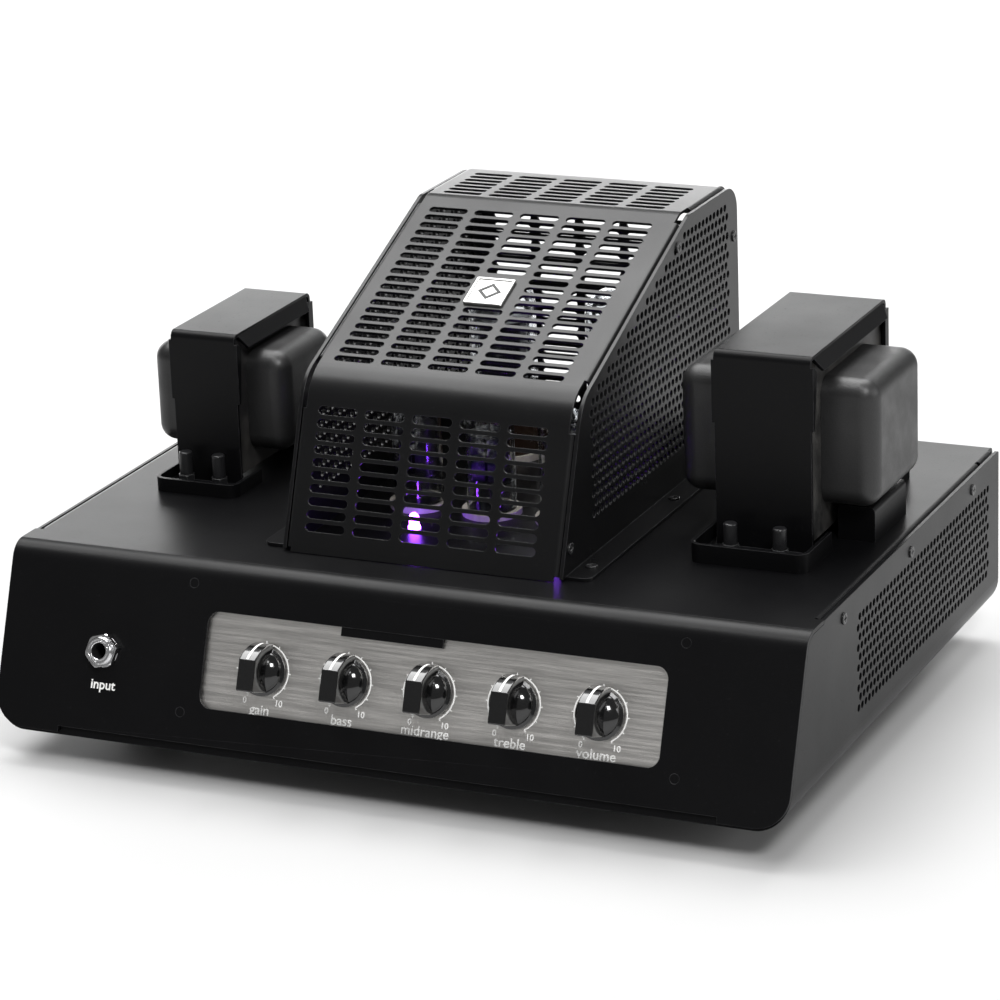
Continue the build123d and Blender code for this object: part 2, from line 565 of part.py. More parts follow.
def make_cage():
    """Perforated sides, the slotted cover that nests between them, and the badge on its slope."""
    wall_outline = filled(cage_outline(0, COVER_TOP + 1.0), list(CAGE_BENDS))
    wall = extrude(Plane.YZ.offset(CAGE_HALF - SHEET) * wall_outline, SHEET)
    holes = [(y, z, HOLE_RADIUS) for y, z in cage_side_holes()]
    holes += [(y, z, SCREW_SHANK) for y, z in CAGE_SCREWS]
    wall -= [Pos(CAGE_HALF, y, z) * Rot(0, 90, 0) * Cylinder(radius, 6) for y, z, radius in holes]
    foot_z = (COVER_TOP, COVER_TOP + SHEET)
    foot = block((CAGE_HALF - SHEET, CAGE_FLANGE_HALF), (25.5, CAGE_REAR - 0.5), foot_z)
    foot = fillet(foot.edges().filter_by(Axis.Z).group_by(Axis.X)[-1], 4.0)
    foot -= [Pos(CAGE_FOOT_X, y, COVER_TOP) * Cylinder(SCREW_SHANK, 10) for y in CAGE_FOOT_Y]
    side = wall + foot
    keep("cage_side_right", side)
    keep("cage_side_left", mirrored(side))

    points = cage_outline(-CAGE_COVER_PROUD, COVER_TOP + 0.3)
    radii = [radius + CAGE_COVER_PROUD for radius in CAGE_BENDS]
    cover = across(bent_section(points, radii, CAGE_COVER_SHEET), CAGE_FLAT_HALF)
    slot = extrude(SlotOverall(SLOT_LENGTH, SLOT_HEIGHT), 4.0, both=True)
    slots = []
    reliefs = ((2.0, 12.0), (12.0, 8.0), (7.0, 13.0), (13.0, 2.0))
    flange_path = [(CAGE_COVER_HALF, -CAGE_COVER_FLANGE), (CAGE_COVER_HALF, 0), (CAGE_FLAT_HALF - 1.0, 0)]
    flange = bent_section(flange_path, [CAGE_COVER_HALF - CAGE_FLAT_HALF], CAGE_COVER_SHEET)
    for index, (start, end) in enumerate(zip(points, points[1:])):
        plane, length = segment_plane(start, end)
        lead, trail = reliefs[index]
        run = plane.location * Pos(0, lead, 0) * Rot(90, 0, 0) * extrude(flange, -(length - lead - trail))
        cover += [run, mirrored(run)]
        slots += [plane.location * Pos(x, along, 0) * slot for x, along in slot_places(index)]
    cover -= slots
    cover &= block((-100, 100), (-50, 300), (COVER_TOP + 0.1, 300))
    screw_holes = [Pos(0, y, z) * Rot(0, 90, 0) * Cylinder(SCREW_SHANK, 130) for y, z in CAGE_SCREWS]
    keep("cage_cover", cover - screw_holes)

    screw = pan_screw(SCREW_HEAD, SCREW_SHANK - 0.05, 5.0)
    placed = [Pos(CAGE_HALF, y, z) * Rot(0, 90, 0) * screw for y, z in CAGE_SCREWS]
    placed += [Pos(CAGE_FOOT_X, y, COVER_TOP + SHEET) * screw for y in CAGE_FOOT_Y]
    keep("cage_screws", *placed, *[mirrored(shape) for shape in placed])

    plane, length = segment_plane(points[2], points[3])
    plate = extrude(RectangleRounded(BADGE_SIZE, BADGE_SIZE, 1.0), 1.2)
    plate = chamfer(plate.edges().group_by(Axis.Z)[-1], 0.3)
    plate -= Pos(0, 0, 0.8) * extrude(RectangleRounded(BADGE_SIZE - 2.4, BADGE_SIZE - 2.4, 0.6), 2.0)
    keep("badge_plate", plane.location * Pos(-BADGE_X, BADGE_ALONG, 0) * plate)


def segment_plane(start, end):
    """The plane of one flat stretch of the cage cover: x across, y along it, z out of the metal."""
    length = math.hypot(end[0] - start[0], end[1] - start[1])
    along = ((end[0] - start[0]) / length, (end[1] - start[1]) / length)
    outward = (along[1], -along[0])
    plane = Plane(origin=(0, start[0], start[1]), x_dir=(-1, 0, 0), z_dir=(0, outward[0], outward[1]))
    return plane, length


def slot_places(index):
    """Slot centres of one stretch: its rear wall, top, slope or front, as (x, distance along it)."""
    count, first, pitch = (REAR_SLOTS, TOP_SLOTS, SLOPE_SLOTS, FRONT_SLOTS)[index]
    rows = [first + row * pitch for row in range(count)]
    places = []
    for column in (-2, -1, 0, 1, 2):
        under_badge = rows[8:12] if index == 2 and column == 0 else []
        x = column * SLOT_COLUMN_PITCH - SLOT_MIDDLE_X
        places += [(x, along) for along in rows if along not in under_badge]
    return places


# ---- valves ------------------------------------------------------------------------------------------
def bulb(radius, thickness, low, high, tip):
    """A hollow glass envelope: straight wall, round shoulder and a small pip on top."""
    shoulder = 0.7 * radius
    outer = fillet(rod(radius, low, high).edges().group_by(Axis.Z)[-1], shoulder)
    inner = rod(radius - thickness, low + thickness, high - thickness)
    inner = fillet(inner.edges().group_by(Axis.Z)[-1], shoulder - thickness)
    if tip:
        outer += Pos(0, 0, high - 0.6) * Cone(2.2, 0.5, tip, align=(Align.CENTER, Align.CENTER, Align.MIN))
    return outer - inner


def make_valves():
    """Two output valves with octal bases and three small valves, with their electrodes and sockets."""
    seat = COVER_TOP
    octal_top = seat + 3.0
    noval_top = seat + 2.5
    octal = rod(18.0, seat, octal_top) + rod(POWER_SOCKET - GAP, seat - 12.0, seat)
    octal -= rod(2.6, seat - 13, octal_top + 1)
    noval = rod(12.5, seat, noval_top) + rod(SMALL_SOCKET - GAP, seat - 12.0, seat)
    noval -= rod(1.6, seat - 13, noval_top + 1)
    keep(
        "valve_sockets",
        *[Pos(x, y, 0) * octal for x, y in POWER_VALVES],
        *[Pos(x, y, 0) * noval for x, y in SMALL_VALVES])
    base_top = octal_top + 22.0
    base = fillet(rod(16.3, octal_top, base_top).edges().group_by(Axis.Z)[-1], 1.0)
    base -= rod(14.4, base_top - 3.0, base_top + 1)
    glass = bulb(14.4, 1.0, base_top - 3.0, base_top + 52.0, 0)
    small_glass = bulb(10.3, 0.8, noval_top, noval_top + 45.0, 5.0)
    anode = fillet(block((-9.5, 9.5), (-6, 6), (base_top + 5, base_top + 35)).edges().filter_by(Axis.Z), 3.0)
    anode += rod(12.6, base_top + 4.2, base_top + 5.0) + rod(12.6, base_top + 35.0, base_top + 35.8)
    anode += rod(1.0, base_top - 2.0, base_top + 42)
    anode += Pos(0, 0, base_top + 42) * (Cylinder(5.5, 1.2) - Cylinder(3.5, 1.2) + Box(8, 1, 1))
    pair = block((-6.6, -0.6), (-4.2, 4.2), (noval_top + 12, noval_top + 32))
    pair += block((0.6, 6.6), (-4.2, 4.2), (noval_top + 12, noval_top + 32))
    pair += rod(8.8, noval_top + 11.4, noval_top + 12.0) + rod(8.8, noval_top + 32.0, noval_top + 32.6)
    pair += rod(0.8, noval_top + 0.8, noval_top + 38) + Pos(0, 0, noval_top + 38) * Cylinder(4.0, 0.8)
    keep("power_valve_glass", *[Pos(x, y, 0) * glass for x, y in POWER_VALVES])
    keep("power_valve_bases", *[Pos(x, y, 0) * base for x, y in POWER_VALVES])
    keep("power_valve_anodes", *[Pos(x, y, 0) * anode for x, y in POWER_VALVES])
    keep("small_valve_glass", *[Pos(x, y, 0) * small_glass for x, y in SMALL_VALVES])
    keep("small_valve_anodes", *[Pos(x, y, 0) * pair for x, y in SMALL_VALVES])


# ---- transformers ------------------------------------------------------------------------------------
def foot_pan(t, front):
    """A foot of the strap: a flat pan with a raised rim on three sides, in front of or behind the core."""
    near, far = (t["y"][0] + PAN_UNDER, t["pan_y"][0]) if front else (t["y"][1], t["pan_y"][1])
    low, high = min(near, far), max(near, far)
    half = t["pan_half"]
    z = COVER_TOP
    corner_edges = 0 if front else -1
    solid = block((-half, half), (low, high), (z, z + t["pan_height"]))
    solid = fillet(solid.edges().filter_by(Axis.Z).group_by(Axis.Y)[corner_edges], 5.0)
    hollow_low = low + (STRAP_SHEET if front else -5.0)
    hollow_high = high + (5.0 if front else -STRAP_SHEET)
    inner_half = half - STRAP_SHEET
    hollow = block((-inner_half, inner_half), (hollow_low, hollow_high), (z + STRAP_SHEET, z + 20))
    hollow = fillet(hollow.edges().filter_by(Axis.Z).group_by(Axis.Y)[corner_edges], 3.5)
    return solid - hollow


def make_transformer(name, t):
    """Laminated core under a bent strap, coil bells at both sides, bolted down through its feet."""
    place = Pos(t["x"], 0, 0)
    front, rear = t["y"]
    half, top, z = t["half"], t["top"], COVER_TOP
    foot_z = z + STRAP_SHEET
    arch = [(rear, z), (rear, top), (front, top), (front, z)]
    strap = across(bent_section(arch, [3.0, 3.0], STRAP_SHEET), half)
    strap += [foot_pan(t, True), foot_pan(t, False)]
    # Flaps along the top, flared outwards, and narrow wedges that taper down the front and rear corners.
    lean = math.radians(FLAP_DEG)
    reach_x, reach_z = FLAP_LENGTH * math.sin(lean), FLAP_LENGTH * math.cos(lean)
    root = half - 0.6
    flap_section = make_face(Polyline(
        (root, top), (root + reach_x, top - reach_z), (root + reach_x - 1.2, top - reach_z - 0.6),
        (root - 1.6, top - 1.4), close=True).edges())
    flap = Pos(0, rear, 0) * extrude(Plane.XZ * flap_section, rear - front)
    for end, way in ((front, 1.0), (rear, -1.0)):
        high, low = top + 1.0, top - 2 * reach_z
        outside = end - way * 5.0
        slant = (FLAP_MITRE - MITRE_START) / reach_z
        inside = [end + way * (MITRE_START + (top - level) * slant) for level in (high, low)]
        mitre = Polyline((outside, high), (inside[0], high), (inside[1], low), (outside, low), close=True)
        flap -= extrude(Plane.YZ * make_face(mitre.edges()), 100, both=True)
    wedge = extrude(Plane.YZ.offset(half - 0.1) * make_face(Polyline(
        (front, top - 4.0), (front + STRAP_SHEET, top - 4.0), (front + 4.5, top - 6.5),
        (front + STRAP_SHEET, top - 30.0), (front, top - 30.0), close=True).edges()), 1.2)
    return_edge = block((half - 0.1, half + 1.2), (rear - 4.0, rear), (z + t["pan_height"] + 2.0, top - 4.0))
    for piece in (flap, wedge, return_edge):
        strap += [piece, mirrored(piece)]
    holes = [Pos(x - t["x"], y, z) * Cylinder(BOLT_RADIUS + 0.1, 12) for x, y in transformer_bolts(t)]
    keep(f"{name}_strap", place * (strap - holes))

    core_front, core_rear = front + STRAP_SHEET, rear - STRAP_SHEET
    core_half = half - 1.4
    core_low = z + 5.0
    core_top = top - STRAP_SHEET - 0.05
    core = block((-core_half, core_half), (core_front + 0.1, core_rear - 0.1), (core_low, core_top))
    core = chamfer(core.edges().group_by(Axis.Z)[-1], 1.7)
    keep(f"{name}_core", place * core)

    low_y, high_y = t["bell_y"]
    low_z, high_z = t["bell_z"]
    bell = block((core_half + 0.05, t["bell_half"]), (low_y, high_y), (low_z, high_z))
    outer_edges = bell.edges().filter_by(lambda edge: edge.center().X > core_half + 1.0)
    bell = fillet(outer_edges, 7.5)
    keep(f"{name}_bells", place * bell, place * mirrored(bell))

    cap_low = foot_z + BOLT_CAP_UP
    cap = fillet(rod(BOLT_CAP_RADIUS, cap_low, t["bolt_top"]).edges().group_by(Axis.Z)[-1], 0.8)
    bolt = rod(BOLT_RADIUS, COVER_UNDER, cap_low) + hexagon(7.0, COVER_UNDER - 2.8, COVER_UNDER) + cap
    nut = hexagon(6.4, foot_z, foot_z + 4.8) - rod(BOLT_RADIUS, 0, 200)
    spots = [Pos(x, y, 0) for x, y in transformer_bolts(t)]
    keep(f"{name}_bolts", *[spot * bolt for spot in spots], *[spot * nut for spot in spots])


def make_lead_shroud():
    """A small folded cover, open at the rear, where the leads of the mains transformer go in."""
    outer = block((146.5, 162.0), (105, 143), (COVER_TOP, 86.0))
    outer = fillet(outer.edges().filter_by(Axis.Y).group_by(Axis.Z)[-1], 2.0)
    inner = block((147.7, 160.8), (106.2, 144), (COVER_TOP - 1, 84.8))
    keep("lead_shroud", outer - inner)


# ---- inside the chassis ------------------------------------------------------------------------------
def make_inside():
    """Main circuit board on standoffs, with its filter capacitors."""
    board_low = SHEET + 8.0
    board_top = board_low + BOARD
    corners = [(x, y) for x in (-62.0, 140.0) for y in (45.0, 190.0)]
    board = block((-70, 148), (37, 198), (board_low, board_top))
    board -= [Pos(x, y, board_low) * Cylinder(1.6, 10) for x, y in corners]
    keep("main_board", board)
    post = extrude(RegularPolygon(3.4, 6), board_low - SHEET) - rod(1.5, 0, 20)
    keep("board_standoffs", *[Pos(x, y, SHEET) * post for x, y in corners])
    can = fillet(rod(11.0, board_top, board_top + 38.0).edges().group_by(Axis.Z)[-1], 1.0)
    can -= rod(11.5, board_top + 33.5, board_top + 34.5) - rod(10.4, board_top + 30, board_top + 38)
    keep("filter_capacitors", *[Pos(110, 60 + i * 30, 0) * can for i in range(4)])


def write_nodes():
    """Move everything to the part's own frame and write one STEP for each node."""
    os.makedirs("parts", exist_ok=True)
    boxes = [shape.bounding_box() for shape in nodes.values()]
    low = [min(tuple(box.min)[i] for box in boxes) for i in range(3)]
    high = [max(tuple(box.max)[i] for box in boxes) for i in range(3)]
    shift = (-(low[0] + high[0]) / 2, -(low[1] + high[1]) / 2, -low[2])
    for name, shape in nodes.items():
        export_step(Pos(*shift) * shape, f"parts/{name}.step")
    print("nodes", len(nodes), "size", [round(b - a, 2) for a, b in zip(low, high)], "shift", shift)


make_top_cover()
make_base_tray()
make_rear_panel()
make_chassis_screws()
make_feet()
make_control_plate()
make_pots()
make_knobs()
make_jacks()
make_mains_inlet()
make_switch("mains_switch", MAINS_SWITCH_X)
make_switch("standby_switch", STANDBY_SWITCH_X)
make_line_out()
make_cage()
make_valves()
make_transformer("output_transformer", OUTPUT_TRANSFORMER)
make_transformer("mains_transformer", MAINS_TRANSFORMER)
make_lead_shroud()
make_inside()
write_nodes()
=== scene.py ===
import json
import math

import bmesh
import bpy
from mathutils import Matrix, Vector
from mathutils.bvhtree import BVHTree


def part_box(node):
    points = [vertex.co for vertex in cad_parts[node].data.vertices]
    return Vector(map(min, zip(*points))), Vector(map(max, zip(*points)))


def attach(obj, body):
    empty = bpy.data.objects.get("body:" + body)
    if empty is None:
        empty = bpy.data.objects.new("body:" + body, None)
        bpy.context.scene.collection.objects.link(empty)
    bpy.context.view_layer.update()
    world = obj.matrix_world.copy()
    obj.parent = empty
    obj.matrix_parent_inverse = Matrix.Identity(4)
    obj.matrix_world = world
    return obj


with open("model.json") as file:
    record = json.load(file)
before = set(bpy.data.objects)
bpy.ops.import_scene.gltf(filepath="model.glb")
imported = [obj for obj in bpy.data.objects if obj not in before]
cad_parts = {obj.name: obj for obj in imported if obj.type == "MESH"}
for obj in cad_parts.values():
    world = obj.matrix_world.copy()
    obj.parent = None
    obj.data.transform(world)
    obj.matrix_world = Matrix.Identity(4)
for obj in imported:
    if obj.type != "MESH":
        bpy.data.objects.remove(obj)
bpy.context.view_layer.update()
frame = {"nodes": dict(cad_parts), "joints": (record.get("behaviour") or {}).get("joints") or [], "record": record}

NODES = frame["nodes"]
JOINTS = {joint["name"]: joint for joint in frame["joints"]}
MM = 0.001
X_AXIS = Vector((1, 0, 0))
Z_AXIS = Vector((0, 0, 1))


# ---- node materials ----------------------------------------------------------------------------------
class Shader:
    """One Principled material and short calls for the nodes that feed it."""

    def __init__(self, name, colour, roughness, metallic=0.0, specular=0.5):
        self.material = bpy.data.materials.new(name)
        self.material.use_nodes = True
        self.tree = self.material.node_tree
        self.tree.nodes.clear()
        output = self.add("ShaderNodeOutputMaterial")
        self.bsdf = self.add("ShaderNodeBsdfPrincipled")
        self.tree.links.new(self.bsdf.outputs[0], output.inputs["Surface"])
        self.place = self.add("ShaderNodeTexCoord").outputs["Object"]
        self.set("Base Color", (*colour, 1.0))
        self.set("Roughness", roughness)
        self.set("Metallic", metallic)
        self.set("Specular IOR Level", specular)

    def add(self, kind, **settings):
        node = self.tree.nodes.new(kind)
        for key, value in settings.items():
            setattr(node, key, value)
        return node

    def feed(self, socket, value):
        if hasattr(value, "is_output"):
            self.tree.links.new(value, socket)
        else:
            socket.default_value = value

    def set(self, name, value):
        self.feed(self.bsdf.inputs[name], value)

    def stretched(self, stretch, turn=(0, 0, 0)):
        mapping = self.add("ShaderNodeMapping")
        self.feed(mapping.inputs["Vector"], self.place)
        mapping.inputs["Scale"].default_value = stretch
        mapping.inputs["Rotation"].default_value = turn
        return mapping.outputs[0]

    def noise(self, size, detail=3.0, stretch=None, rough=0.55):
        """Noise whose features are about size metres across."""
        node = self.add("ShaderNodeTexNoise")
        self.feed(node.inputs["Vector"], self.stretched(stretch) if stretch else self.place)
        node.inputs["Scale"].default_value = 1.0 / size
        node.inputs["Detail"].default_value = detail
        node.inputs["Roughness"].default_value = rough
        return node.outputs["Fac"]

    def cells(self, size):
        node = self.add("ShaderNodeTexVoronoi")
        self.feed(node.inputs["Vector"], self.place)
        node.inputs["Scale"].default_value = 1.0 / size
        return node.outputs["Distance"]

    def spread(self, value, low, high, to_low=0.0, to_high=1.0):
        """Map low..high of a value to to_low..to_high, held at both ends."""
        node = self.add("ShaderNodeMapRange")
        for socket, number in zip(node.inputs, (value, low, high, to_low, to_high)):
            self.feed(socket, number)
        return node.outputs[0]

    def calc(self, operation, a, b=0.0):
        node = self.add("ShaderNodeMath", operation=operation)
        self.feed(node.inputs[0], a)
        self.feed(node.inputs[1], b)
        return node.outputs[0]

    def blend(self, share, a, b):
        """A colour between a and b."""
        node = self.add("ShaderNodeMix", data_type="RGBA")
        self.feed(node.inputs["Factor"], share)
        self.feed(node.inputs[6], (*a, 1.0) if isinstance(a, tuple) else a)
        self.feed(node.inputs[7], (*b, 1.0) if isinstance(b, tuple) else b)
        return node.outputs[2]

    def soft_edges(self, radius):
        """A normal that rounds sharp edges, and a mask that is 1 along them."""
        bevel = self.add("ShaderNodeBevel", samples=6)
        bevel.inputs["Radius"].default_value = radius
        geometry = self.add("ShaderNodeNewGeometry")
        dot = self.add("ShaderNodeVectorMath", operation="DOT_PRODUCT")
        self.feed(dot.inputs[0], bevel.outputs[0])
        self.feed(dot.inputs[1], geometry.outputs["Normal"])
        mask = self.spread(dot.outputs["Value"], 0.995, 0.86)
        return bevel.outputs[0], mask

    def bump(self, height, depth, normal=None, strength=1.0):
        node = self.add("ShaderNodeBump")
        node.inputs["Strength"].default_value = strength
        node.inputs["Distance"].default_value = depth
        self.feed(node.inputs["Height"], height)
        if normal is not None:
            self.feed(node.inputs["Normal"], normal)
        return node.outputs[0]


def powder_coat(name, colour, roughness, grain=0.0006, depth=0.00002, specular=0.5, worn=(0.05, 0.05, 0.053)):
    """Powder-coated sheet: fine orange peel, uneven sheen, faint dust and slightly rubbed edges."""
    shader = Shader(name, colour, roughness, specular=specular)
    normal, edge = shader.soft_edges(0.35 * MM)
    peel = shader.noise(grain, 2.0)
    sheen = shader.noise(0.06, 4.0)
    dust = shader.spread(shader.noise(0.0011, 1.0), 0.70, 0.78)
    rubbed = shader.calc("MULTIPLY", edge, shader.spread(shader.noise(0.004, 4.0), 0.38, 0.62, 0.25, 1.0))
    dusty = shader.blend(shader.calc("MULTIPLY", dust, 0.25), colour, tuple(2.2 * c + 0.01 for c in colour))
    shader.set("Base Color", shader.blend(rubbed, dusty, worn))
    base = shader.spread(sheen, 0.3, 0.7, roughness - 0.035, roughness + 0.045)
    base = shader.calc("ADD", base, shader.calc("MULTIPLY", dust, 0.12))
    shader.set("Roughness", base)
    shader.set("Normal", shader.bump(peel, depth, normal))
    return shader.material


def crinkle_paint(name, colour, roughness):
    """Textured black enamel of the transformer bells: small rounded pebbles under a satin gloss."""
    shader = Shader(name, colour, roughness, specular=0.55)
    pebbles = shader.cells(0.0006)
    fine = shader.noise(0.0003, 2.0)
    height = shader.calc("ADD", pebbles, shader.calc("MULTIPLY", fine, 0.6))
    shader.set("Base Color", shader.blend(shader.spread(pebbles, 0.1, 0.6), tuple(1.5 * c for c in colour), colour))
    shader.set("Roughness", shader.spread(shader.noise(0.012, 4.0), 0.3, 0.7, roughness - 0.06, roughness + 0.08))
    shader.set("Normal", shader.bump(height, 0.00003))
    return shader.material


def laminated_steel(name):
    """Edges of stacked core sheets, lacquered black, with a thin line at every sheet."""
    shader = Shader(name, (0.02, 0.02, 0.021), 0.5)
    wave = shader.add("ShaderNodeTexWave", bands_direction="X", wave_profile="SIN")
    shader.feed(wave.inputs["Vector"], shader.place)
    wave.inputs["Scale"].default_value = 320.0
    wave.inputs["Distortion"].default_value = 0.6
    patches = shader.noise(0.01, 5.0)
    shader.set("Base Color", shader.blend(shader.spread(patches, 0.35, 0.7), (0.012, 0.012, 0.012), (0.045, 0.043, 0.04)))
    shader.set("Roughness", shader.spread(patches, 0.3, 0.7, 0.38, 0.62))
    shader.set("Normal", shader.bump(wave.outputs["Fac"], 0.00008))
    return shader.material


def brushed_metal(name, colour, roughness, stretch, streak=0.00035, contrast=0.22, depth=0.00003):
    """Metal with a straight grain: stretch is small along the grain and 1 across it."""
    shader = Shader(name, colour, roughness, metallic=1.0)
    fine = shader.noise(streak, 4.0, stretch, 0.7)
    broad = shader.noise(streak * 5, 3.0, stretch)
    mixed = shader.calc("ADD", shader.calc("MULTIPLY", fine, 0.65), shader.calc("MULTIPLY", broad, 0.35))
    dark = tuple(c * (1 - contrast) for c in colour)
    light = tuple(min(1.0, c * (1 + 0.5 * contrast)) for c in colour)
    shader.set("Base Color", shader.blend(shader.spread(mixed, 0.36, 0.64), dark, light))
    shader.set("Roughness", shader.spread(broad, 0.35, 0.65, roughness - 0.05, roughness + 0.07))
    shader.set("Normal", shader.bump(fine, depth))
    return shader.material


def plated_metal(name, colour, roughness, scratch=0.00001):
    """Bright plated metal with faint smudges and hairline scratches."""
    shader = Shader(name, colour, roughness, metallic=1.0)
    normal, edge = shader.soft_edges(0.15 * MM)
    smudge = shader.noise(0.003, 4.0)
    lines = shader.noise(0.0003, 2.0, (0.2, 1.0, 0.35))
    shader.set("Roughness", shader.spread(smudge, 0.3, 0.7, roughness * 0.7, roughness * 1.5))
    shader.set("Base Color", shader.blend(shader.spread(smudge, 0.4, 0.75), colour, tuple(0.82 * c for c in colour)))
    shader.set("Normal", shader.bump(lines, scratch, normal))
    return shader.material


def moulded_plastic(name, colour, roughness, grain=0.0004, depth=0.00001, coat=0.0):
    """Moulded plastic: faint grain, handling marks in the gloss and softened edges."""
    shader = Shader(name, colour, roughness)
    normal, edge = shader.soft_edges(0.25 * MM)
    marks = shader.noise(0.006, 5.0)
    specks = shader.spread(shader.noise(0.0009, 1.0), 0.71, 0.78)
    shader.set("Base Color", shader.blend(
        shader.calc("MULTIPLY", specks, 0.35), colour, tuple(min(1.0, 1.8 * c + 0.02) for c in colour)))
    shader.set("Roughness", shader.spread(marks, 0.3, 0.7, roughness * 0.8, roughness * 1.35))
    shader.set("Coat Weight", coat)
    shader.set("Coat Roughness", 0.06)
    shader.set("Normal", shader.bump(shader.noise(grain, 2.0), depth, normal))
    return shader.material


def moulded_rubber(name):
    shader = Shader(name, (0.014, 0.014, 0.014), 0.75, specular=0.35)
    bloom = shader.noise(0.008, 5.0)
    shader.set("Base Color", shader.blend(shader.spread(bloom, 0.45, 0.8), (0.011, 0.011, 0.011), (0.035, 0.034, 0.033)))
    shader.set("Roughness", shader.spread(bloom, 0.3, 0.7, 0.62, 0.85))
    shader.set("Normal", shader.bump(shader.noise(0.0005, 3.0), 0.00004))
    return shader.material


def circuit_board(name):
    """Green solder mask with copper tracks that show through as slightly raised lines."""
    shader = Shader(name, (0.01, 0.09, 0.035), 0.35)
    tracks = shader.add("ShaderNodeTexBrick")
    shader.feed(tracks.inputs["Vector"], shader.place)
    tracks.inputs["Scale"].default_value = 90.0
    tracks.inputs["Mortar Size"].default_value = 0.03
    tracks.inputs["Color1"].default_value = (0.010, 0.085, 0.033, 1)
    tracks.inputs["Color2"].default_value = (0.008, 0.070, 0.030, 1)
    tracks.inputs["Mortar"].default_value = (0.03, 0.19, 0.07, 1)
    shader.set("Base Color", tracks.outputs["Color"])
    shader.set("Roughness", shader.spread(shader.noise(0.01, 3.0), 0.3, 0.7, 0.28, 0.42))
    shader.set("Normal", shader.bump(tracks.outputs["Fac"], 0.00004))
    return shader.material


def valve_glass(name):
    """Clear glass, with a faint grey film and tiny waviness."""
    shader = Shader(name, (0.93, 0.95, 0.97), 0.03)
    shader.set("IOR", 1.47)
    shader.set("Transmission Weight", 1.0)
    shader.set("Roughness", shader.spread(shader.noise(0.01, 3.0), 0.3, 0.7, 0.015, 0.06))
    shader.set("Normal", shader.bump(shader.noise(0.012, 2.0), 0.00004))
    return shader.material


def ceramic(name):
    shader = Shader(name, (0.72, 0.68, 0.6), 0.22)
    stain = shader.noise(0.004, 5.0)
    shader.set("Base Color", shader.blend(shader.spread(stain, 0.4, 0.8), (0.74, 0.70, 0.62), (0.55, 0.5, 0.42)))
    shader.set("Roughness", shader.spread(stain, 0.3, 0.7, 0.16, 0.34))
    shader.set("Normal", shader.bump(shader.noise(0.0009, 2.0), 0.00002))
    return shader.material


def ink(name, colour):
    """Screen-printed ink: slightly uneven cover and a soft sheen."""
    shader = Shader(name, colour, 0.45)
    cover = shader.noise(0.0005, 3.0)
    shader.set("Base Color", shader.blend(shader.spread(cover, 0.3, 0.55), tuple(0.86 * c for c in colour), colour))
    shader.set("Roughness", shader.spread(cover, 0.3, 0.7, 0.38, 0.55))
    shader.set("Normal", shader.bump(cover, 0.00001))
    return shader.material


def glow(name, colour, strength):
    """A small lit diode under a cloudy lens."""
    shader = Shader(name, colour, 0.3)
    cloud = shader.noise(0.002, 3.0)
    shader.set("Emission Color", shader.blend(shader.spread(cloud, 0.3, 0.7), tuple(0.7 * c for c in colour), colour))
    shader.set("Emission Strength", strength)
    shader.set("Normal", shader.bump(cloud, 0.00005))
    return shader.material


GRAIN_X = (0.03, 1.0, 1.0)
CHASSIS_PAINT = powder_coat("chassis_paint", (0.003, 0.003, 0.0034), 0.33, specular=0.16)
CAGE_PAINT = powder_coat("cage_paint", (0.004, 0.004, 0.0044), 0.30, grain=0.0005, specular=0.3)
STRAP_PAINT = powder_coat("strap_paint", (0.003, 0.003, 0.0034), 0.36, grain=0.0007, specular=0.14)
SCREW_BLACK = powder_coat("screw_black", (0.012, 0.012, 0.013), 0.28, depth=0.00001, worn=(0.12, 0.12, 0.12))
BELL_PAINT = crinkle_paint("bell_paint", (0.011, 0.011, 0.0112), 0.42)
CORE_STEEL = laminated_steel("core_steel")
PLATE_METAL = brushed_metal("plate_metal", (0.80, 0.78, 0.75), 0.36, GRAIN_X, streak=0.00022, contrast=0.16)
BADGE_METAL = brushed_metal("badge_metal", (0.48, 0.48, 0.47), 0.34, GRAIN_X, contrast=0.1, depth=0.00001)
TURNED_STEEL = brushed_metal("turned_steel", (0.55, 0.55, 0.55), 0.3, (1.0, 0.2, 1.0))
ANODE_METAL = brushed_metal("anode_metal", (0.11, 0.11, 0.115), 0.45, (1.0, 1.0, 0.2))
CHROME = plated_metal("chrome", (0.86, 0.86, 0.87), 0.12)
ZINC = plated_metal("zinc", (0.74, 0.74, 0.75), 0.24, scratch=0.00002)
KNOB_PLASTIC = moulded_plastic("knob_plastic", (0.004, 0.004, 0.0042), 0.10, coat=0.6)
MATT_PLASTIC = moulded_plastic("matt_plastic", (0.012, 0.012, 0.012), 0.5, depth=0.00002)
ROCKER_PLASTIC = moulded_plastic("rocker_plastic", (0.008, 0.008, 0.008), 0.28)
BAKELITE = moulded_plastic("bakelite", (0.03, 0.018, 0.012), 0.22)
SLEEVE = moulded_plastic("sleeve", (0.02, 0.022, 0.04), 0.3)
RUBBER = moulded_rubber("rubber")
BOARD = circuit_board("board")
GLASS = valve_glass("glass")
CERAMIC = ceramic("ceramic")
WHITE_INK = ink("white_ink", (0.9, 0.9, 0.88))
BLACK_INK = ink("black_ink", (0.01, 0.01, 0.01))
VIOLET = glow("violet_glow", (0.25, 0.05, 1.0), 45.0)

